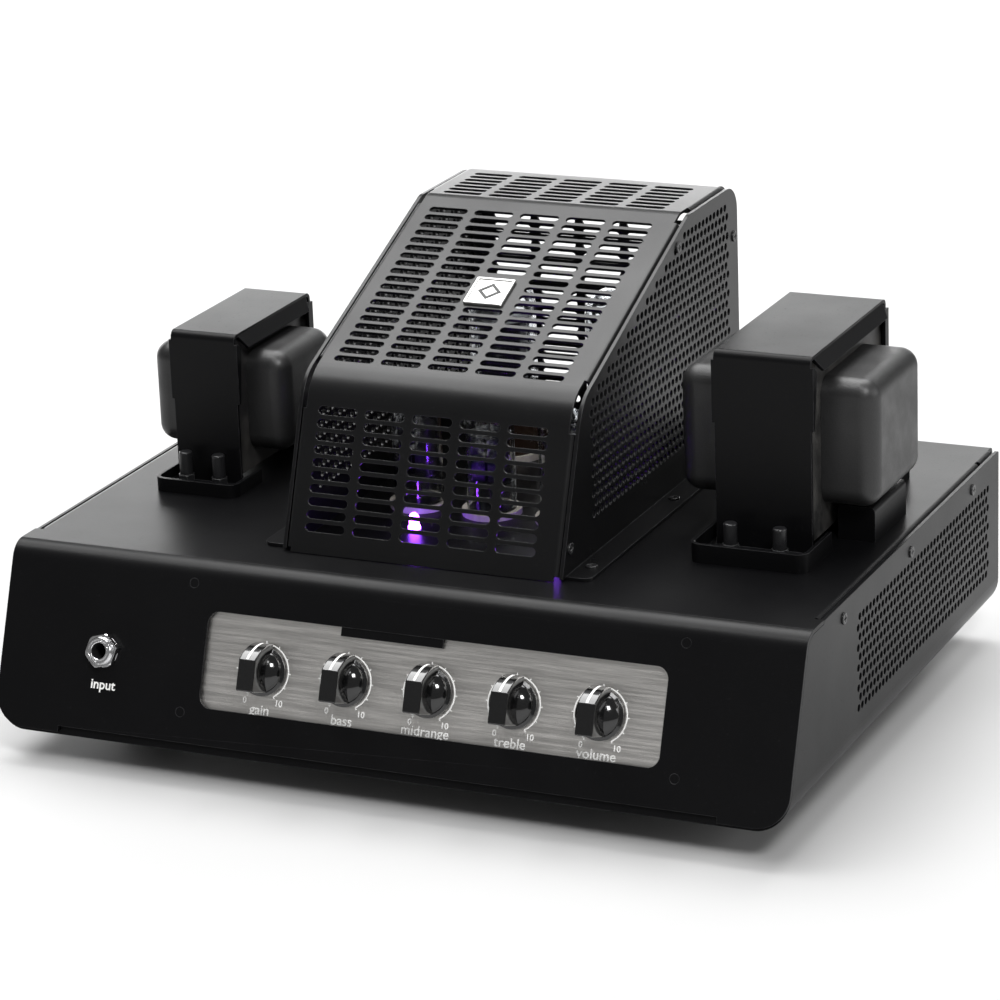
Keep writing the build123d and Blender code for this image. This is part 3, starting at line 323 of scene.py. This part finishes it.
NODE_MATERIALS = {
    CHASSIS_PAINT: ("top_cover", "front_panel", "bent_flanges", "base_tray", "rear_panel", "plate_studs"),
    CAGE_PAINT: ("cage_cover", "cage_side_left", "cage_side_right"),
    STRAP_PAINT: ("output_transformer_strap", "mains_transformer_strap", "lead_shroud"),
    SCREW_BLACK: ("chassis_screws", "cage_screws", "output_transformer_bolts", "mains_transformer_bolts"),
    BELL_PAINT: ("output_transformer_bells", "mains_transformer_bells"),
    CORE_STEEL: ("output_transformer_core", "mains_transformer_core"),
    PLATE_METAL: ("control_plate",),
    BADGE_METAL: ("badge_plate",),
    TURNED_STEEL: ("plate_nuts", "pot_nuts", "board_standoffs", "gain_shaft", "bass_shaft",
                   "midrange_shaft", "treble_shaft", "volume_shaft"),
    ANODE_METAL: ("power_valve_anodes", "small_valve_anodes"),
    CHROME: ("jack_nuts", "jack_washers"),
    ZINC: ("foot_screws",),
    KNOB_PLASTIC: ("gain_knob", "bass_knob", "midrange_knob", "treble_knob", "volume_knob"),
    MATT_PLASTIC: ("potentiometers", "input_jack", "rear_jacks", "mains_inlet", "fuse_drawer", "line_out_socket",
                   "button_housing", "ground_lift_button", "mains_switch_frame", "standby_switch_frame"),
    ROCKER_PLASTIC: ("mains_switch_rocker", "standby_switch_rocker"),
    BAKELITE: ("power_valve_bases",),
    SLEEVE: ("filter_capacitors",),
    RUBBER: ("feet",),
    BOARD: ("front_board", "main_board"),
    GLASS: ("power_valve_glass", "small_valve_glass"),
    CERAMIC: ("valve_sockets",),
}


def dress_nodes():
    for material, names in NODE_MATERIALS.items():
        for name in names:
            data = NODES[name].data
            if not data.materials:
                data.materials.append(material)
            for index in range(len(data.materials)):
                data.materials[index] = material


# ---- mesh helpers ------------------------------------------------------------------------------------
def basis(origin, right, up):
    """A matrix whose X runs right, Y runs up and Z stands out of the surface."""
    right, up = right.normalized(), up.normalized()
    out = right.cross(up)
    matrix = Matrix((right, up, out)).transposed().to_4x4()
    matrix.translation = origin
    return matrix


def finish_piece(name, mesh, body, material, smooth=False):
    mesh.materials.clear()
    mesh.materials.append(material)
    piece = bpy.data.objects.new(name, mesh)
    bpy.context.scene.collection.objects.link(piece)
    if smooth:
        for polygon in mesh.polygons:
            polygon.use_smooth = True
    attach(piece, body)
    return piece


def mesh_piece(name, vertices, faces, body, material, smooth=False):
    mesh = bpy.data.meshes.new(name)
    mesh.from_pydata([tuple(v) for v in vertices], [], faces)
    cleaner = bmesh.new()
    cleaner.from_mesh(mesh)
    bmesh.ops.recalc_face_normals(cleaner, faces=cleaner.faces)
    cleaner.to_mesh(mesh)
    cleaner.free()
    return finish_piece(name, mesh, body, material, smooth)


def tube_faces(rings, corners, closed, first=0):
    """Quads between rings of corners, with end caps unless the rings close on themselves."""
    faces = []
    for ring in range(rings if closed else rings - 1):
        a, b = first + ring * corners, first + ((ring + 1) % rings) * corners
        for corner in range(corners):
            following = (corner + 1) % corners
            faces.append((a + corner, a + following, b + following, b + corner))
    if not closed:
        last = first + (rings - 1) * corners
        faces.append(tuple(range(first + corners - 1, first - 1, -1)))
        faces.append(tuple(range(last, last + corners)))
    return faces


def lathe(name, loop, matrix, body, material, segments=72):
    """A closed loop of (radius, height) turned about the Z of matrix."""
    vertices = []
    for step in range(segments):
        angle = 2 * math.pi * step / segments
        direction = Vector((math.cos(angle), math.sin(angle), 0))
        vertices += [matrix @ (direction * radius + Z_AXIS * height) for radius, height in loop]
    return mesh_piece(name, vertices, tube_faces(segments, len(loop), True), body, material)


def lettering(name, words, matrix, size, body, material, thickness=0.05 * MM, weight=0.0):
    """Printed words, centred on the origin of matrix."""
    curve = bpy.data.curves.new(name + "_curve", "FONT")
    curve.body = words
    curve.size = size
    curve.align_x = "CENTER"
    curve.align_y = "CENTER"
    curve.extrude = thickness / 2
    curve.offset = weight
    curve.resolution_u = 4
    draft = bpy.data.objects.new(name + "_draft", curve)
    bpy.context.scene.collection.objects.link(draft)
    graph = bpy.context.evaluated_depsgraph_get()
    mesh = bpy.data.meshes.new_from_object(draft.evaluated_get(graph))
    bpy.data.objects.remove(draft)
    bpy.data.curves.remove(curve)
    mesh.name = name
    mesh.transform(matrix)
    return finish_piece(name, mesh, body, material)


def surface_of(node):
    mesh = NODES[node].data
    return BVHTree.FromPolygons([v.co.copy() for v in mesh.vertices], [tuple(p.vertices) for p in mesh.polygons])


# ---- the raked control face --------------------------------------------------------------------------
CONTROLS = ("gain", "bass", "midrange", "treble", "volume")
FACE_OUT = Vector(JOINTS["gain_turn"]["axis"]).normalized()
FACE_UP = FACE_OUT.cross(X_AXIS)
PLATE_DEPTH = 2.0 * MM
PRINT_LIFT = 0.03 * MM
DIAL_RADIUS = 11.05 * MM
DIAL_LINE = 0.55 * MM
TICK_REACH = 0.75 * MM
DIAL_SWEEP = 300
LABEL_SIZE = 5.6 * MM
LABEL_DROP = 15.6 * MM
NUMBER_SIZE = 3.5 * MM
LOW_PLACE = (-6.95 * MM, -12.3 * MM)
HIGH_PLACE = (8.1 * MM, -12.25 * MM)
POINTER_START = 11.2 * MM
POINTER_END = 4.6 * MM
POINTER_HALF = 0.5 * MM


def on_plate(control, right=0.0, up=0.0, lift=PRINT_LIFT):
    """A place on the brushed plate, measured from a knob's axis."""
    axis_point = Vector(JOINTS[control + "_turn"]["pos_m"])
    origin = axis_point + X_AXIS * right + FACE_UP * up + FACE_OUT * (lift - PLATE_DEPTH)
    return basis(origin, X_AXIS, FACE_UP)


def make_dial(control):
    """White arc round a knob, with eleven ticks, its end numbers and its name."""
    matrix = on_plate(control)
    low, high = -0.02 * MM, 0.02 * MM
    inner, outer = DIAL_RADIUS - DIAL_LINE / 2, DIAL_RADIUS + DIAL_LINE / 2
    steps = 60
    vertices = []
    for step in range(steps + 1):
        angle = math.radians(90 + DIAL_SWEEP / 2 - DIAL_SWEEP * step / steps)
        direction = Vector((math.cos(angle), math.sin(angle), 0))
        for radius, height in ((inner, low), (outer, low), (outer, high), (inner, high)):
            vertices.append(matrix @ (direction * radius + Z_AXIS * height))
    faces = tube_faces(steps + 1, 4, False)
    for tick in range(11):
        angle = math.radians(90 + DIAL_SWEEP / 2 - 30 * tick)
        out = Vector((math.cos(angle), math.sin(angle), 0))
        side = Vector((-out.y, out.x, 0)) * 0.28 * MM
        first = len(vertices)
        for radius in (DIAL_RADIUS, outer + TICK_REACH):
            taper = 1.0 if radius == DIAL_RADIUS else 0.6
            for sign, height in ((-1, low * 0.9), (1, low * 0.9), (1, high * 1.1), (-1, high * 1.1)):
                vertices.append(matrix @ (out * radius + side * sign * taper + Z_AXIS * height))
        faces += tube_faces(2, 4, False, first)
    mesh_piece(f"{control}_dial", vertices, faces, "chassis", WHITE_INK)
    lettering(f"{control}_name", control, on_plate(control, 0, -LABEL_DROP), LABEL_SIZE, "chassis", WHITE_INK,
              weight=0.06 * MM)
    lettering(f"{control}_low", "0", on_plate(control, *LOW_PLACE), NUMBER_SIZE, "chassis", WHITE_INK,
              weight=0.04 * MM)
    lettering(f"{control}_high", "10", on_plate(control, *HIGH_PLACE), NUMBER_SIZE, "chassis", WHITE_INK,
              weight=0.04 * MM)


def make_pointer(control):
    """White line inlaid along the crest of a knob, following its curved top."""
    surface = surface_of(control + "_knob")
    axis_point = Vector(JOINTS[control + "_turn"]["pos_m"])
    half, reach, steps = POINTER_HALF, 40 * MM, 26
    vertices = []
    rows = 0
    for step in range(steps + 1):
        along = POINTER_START + (POINTER_END - POINTER_START) * step / steps
        ring = []
        for side, lift in ((-half, -0.15 * MM), (half, -0.15 * MM), (half, 0.05 * MM), (-half, 0.05 * MM)):
            origin = axis_point + FACE_UP * along + X_AXIS * side + FACE_OUT * reach
            hit, normal, _, _ = surface.ray_cast(origin, -FACE_OUT, 2 * reach)
            if hit is not None:
                ring.append(hit + normal * lift)
        if len(ring) == 4:
            vertices += ring
            rows += 1
    mesh_piece(f"{control}_pointer", vertices, tube_faces(rows, 4, False), f"{control}_control", WHITE_INK)


def jack_collar(name, origin, right, up):
    """Threaded end of a socket's bushing: a stepped chrome lip over rolled threads."""
    loop = [(3.3, 4.45), (5.32, 4.45), (5.32, 3.25)]
    for turn in range(3):
        base = 3.25 + 0.42 * turn
        loop += [(5.38, base), (5.62, base + 0.21)]
    loop += [(5.38, 4.55), (5.2, 4.85), (4.55, 4.9), (4.4, 4.65), (4.1, 4.65), (3.95, 4.9), (3.5, 4.9), (3.3, 4.7)]
    lathe(name, [(r * MM, h * MM) for r, h in loop], basis(origin, right, up), "chassis", CHROME)


MOUNTS = {mount["name"]: mount for mount in frame["record"]["mounts"]}
JACK_TIP = 4.4 * MM


def socket_mouth(mount):
    """The middle of a socket's bore where it meets the outside of its panel."""
    place = MOUNTS[mount]
    axis = Vector(place["axis"]).normalized()
    return Vector(place["pos_m"]) + axis * (place["dims"]["length_mm"] * MM / 2 - JACK_TIP), axis


def make_front_print():
    for control in CONTROLS:
        make_dial(control)
        make_pointer(control)
    mouth, _ = socket_mouth("input_socket")
    jack_collar("input_collar", mouth, X_AXIS, FACE_UP)
    place = mouth + X_AXIS * 1.2 * MM - FACE_UP * 13.7 * MM + FACE_OUT * PRINT_LIFT
    lettering("input_name", "input", basis(place, X_AXIS, FACE_UP), 5.5 * MM, "chassis", WHITE_INK, weight=0.1 * MM)


# ---- rear print --------------------------------------------------------------------------------------
def make_rear_print():
    """Collars, plain function words and the marks on the rockers."""
    left = -X_AXIS
    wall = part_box("rear_panel")[1].y
    words = {"speaker_socket_a": "speaker", "speaker_socket_b": "speaker", "loop_return_socket": "return",
             "loop_send_socket": "send"}
    for mount, word in words.items():
        mouth, _ = socket_mouth(mount)
        jack_collar(mount + "_collar", mouth, left, Z_AXIS)
        rear_word(mount + "_word", word, mouth.x, mouth.z - 14 * MM, wall)
    for node, word in (("mains_switch_frame", "power"), ("standby_switch_frame", "standby"),
                       ("line_out_socket", "line out"), ("ground_lift_button", "lift"), ("mains_inlet", "fuse")):
        low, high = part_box(node)
        drop = 3.5 if node != "ground_lift_button" else 11.5
        rear_word(node + "_word", word, (low.x + high.x) / 2, low.z - drop * MM, wall)
    for switch in ("mains", "standby"):
        mark_rocker(switch)


def rear_word(name, word, x, z, wall):
    origin = Vector((x, wall + PRINT_LIFT, z))
    lettering(name, word, basis(origin, -X_AXIS, Z_AXIS), 3.4 * MM, "chassis", WHITE_INK, weight=0.03 * MM)


def mark_rocker(switch):
    """A bar on one end of the rocker and a ring on the other, laid on its surface."""
    surface = surface_of(f"{switch}_switch_rocker")
    low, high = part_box(f"{switch}_switch_rocker")
    middle = (low + high) / 2
    for side, shape in ((-1, "on"), (1, "off")):
        origin = Vector((middle.x + side * 5.6 * MM, high.y + 20 * MM, middle.z))
        hit, normal, _, _ = surface.ray_cast(origin, Vector((0, -1, 0)), 0.1)
        matrix = basis(hit + normal * 0.02 * MM, Z_AXIS.cross(normal), Z_AXIS)
        name = f"{switch}_{shape}_mark"
        if shape == "on":
            loop = [(x * MM, y * MM) for x, y in ((-0.3, -1.9), (0.3, -1.9), (0.3, 1.9), (-0.3, 1.9))]
            vertices = [matrix @ Vector((x, y, z)) for z in (-0.03 * MM, 0.03 * MM) for x, y in loop]
            mesh_piece(name, vertices, tube_faces(2, 4, False), f"{switch}_rocker", WHITE_INK)
        else:
            loop = [(1.35, -0.03), (1.85, -0.03), (1.85, 0.03), (1.35, 0.03)]
            lathe(name, [(r * MM, h * MM) for r, h in loop], matrix, f"{switch}_rocker", WHITE_INK, 40)


# ---- badge and lights in the cage --------------------------------------------------------------------
def make_badge():
    """A plain lozenge in the recess of the badge plate."""
    low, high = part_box("badge_plate")
    surface = surface_of("badge_plate")
    middle = (low + high) / 2
    hit, normal, _, _ = surface.ray_cast(middle + Vector((0, -0.01, 0.03)), Vector((0, 0.01, -0.03)).normalized(), 0.1)
    hit, normal, _, _ = surface.ray_cast(middle + normal * 0.02, -normal, 0.1)
    matrix = basis(hit + normal * 0.1 * MM, X_AXIS, normal.cross(X_AXIS))
    outer, inner = 5.2 * MM, 3.4 * MM
    corners = ((1, 0), (0, 1), (-1, 0), (0, -1))
    vertices = []
    for x, y in corners:
        for reach, height in ((inner, -0.1 * MM), (outer, -0.1 * MM), (outer, 0.1 * MM), (inner, 0.1 * MM)):
            vertices.append(matrix @ Vector((x * reach, y * reach, height)))
    mesh_piece("badge_lozenge", vertices, tube_faces(4, 4, True), "chassis", BLACK_INK)


LAMP_X = (-22.0 * MM, 40.0 * MM)
LAMP_BEHIND = 42.0 * MM
LAMP_PROFILE = ((0.0, 0.0), (2.6, 0.0), (2.6, 1.2), (2.1, 1.4), (2.1, 5.0), (1.6, 6.2), (0.8, 6.9), (0.0, 7.1))


def make_lamps():
    """Small violet diodes that stand on the chassis behind the front wall of the cage."""
    cage_low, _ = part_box("cage_cover")
    _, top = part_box("top_cover")
    profile = [(max(radius, 0.02) * MM, height * MM) for radius, height in LAMP_PROFILE]
    for index, x in enumerate(LAMP_X):
        place = Vector((x, cage_low.y + LAMP_BEHIND, top.z))
        lathe(f"cage_lamp_{index + 1}", profile, basis(place, X_AXIS, Vector((0, 1, 0))), "chassis", VIOLET, 32)


# ---- stage, light and camera -------------------------------------------------------------------------
VIEW_YAW = math.radians(24.78)
VIEW_PITCH = math.radians(18.62)
VIEW_ROLL = math.radians(-2.21)
VIEW_DISTANCE = 1.61
VIEW_LENS = 147.25
VIEW_AIM = Vector((0.0331, -0.2061, 0.1009))


def make_camera():
    """The photograph's view: to the right of the front, raised, with a long lens."""
    forward = Vector((
        -math.sin(VIEW_YAW) * math.cos(VIEW_PITCH), math.cos(VIEW_YAW) * math.cos(VIEW_PITCH), -math.sin(VIEW_PITCH)))
    level = Vector((math.cos(VIEW_YAW), math.sin(VIEW_YAW), 0))
    upright = level.cross(forward)
    right = level * math.cos(VIEW_ROLL) + upright * math.sin(VIEW_ROLL)
    low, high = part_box("base_tray")
    aim = Vector(((low.x + high.x) / 2, high.y, low.z)) + VIEW_AIM
    data = bpy.data.cameras.new("camera")
    data.lens = VIEW_LENS
    data.sensor_width = 36
    data.clip_start = 0.05
    data.clip_end = 60
    camera = bpy.data.objects.new("camera", data)
    camera.matrix_world = basis(aim - forward * VIEW_DISTANCE, right, right.cross(forward))
    bpy.context.scene.collection.objects.link(camera)
    bpy.context.scene.camera = camera


def softbox(name, place, target, width, height, radiance, colour=(1, 1, 1)):
    """A flat diffuser of the given size and surface brightness, unseen by the camera."""
    data = bpy.data.lights.new(name, "AREA")
    data.shape = "RECTANGLE"
    data.size = width
    data.size_y = height
    data.energy = radiance * width * height * math.pi
    data.color = colour
    light = bpy.data.objects.new(name, data)
    out = (Vector(place) - Vector(target)).normalized()
    light.matrix_world = basis(Vector(place), Z_AXIS.cross(out), out.cross(Z_AXIS.cross(out)))
    light.visible_camera = False
    bpy.context.scene.collection.objects.link(light)


def make_stage():
    reach = 14.0
    floor = bpy.data.meshes.new("floor")
    floor.from_pydata([(-reach, -reach, 0), (reach, -reach, 0), (reach, reach, 0), (-reach, reach, 0)], [], [(0, 1, 2, 3)])
    shader = Shader("floor", (0.5, 0.5, 0.5), 0.6, specular=0.2)
    shader.set("Base Color", shader.blend(shader.noise(1.5, 2.0), (0.49, 0.49, 0.49), (0.51, 0.51, 0.51)))
    floor.materials.append(shader.material)
    stage = bpy.data.objects.new("floor", floor)
    bpy.context.scene.collection.objects.link(stage)
    world = bpy.data.worlds.new("studio")
    world.use_nodes = True
    tree = world.node_tree
    surroundings = tree.nodes["Background"]
    surroundings.inputs["Color"].default_value = (1, 1, 1, 1)
    surroundings.inputs["Strength"].default_value = 0.2
    bpy.context.scene.world = world
    bpy.context.scene.view_settings.view_transform = "Standard"


def make_lights():
    aim = (0, 0, 0.1)
    softbox("back_panel", (-1.5, 2.6, 0.55), aim, 4.2, 1.0, 4.6)
    softbox("overhead", (-0.4, 0.9, 2.3), aim, 2.4, 1.6, 7.0)
    softbox("front_strip", (-0.5, -0.7, 2.2), aim, 2.6, 0.35, 9.0)
    softbox("right_fill", (2.6, 0.4, 1.0), aim, 1.6, 1.2, 3.4)
    softbox("front_key", (1.3, -1.5, 2.0), aim, 0.6, 0.6, 34.0)


dress_nodes()
make_front_print()
make_rear_print()
make_badge()
make_lamps()
make_stage()
make_lights()
make_camera()
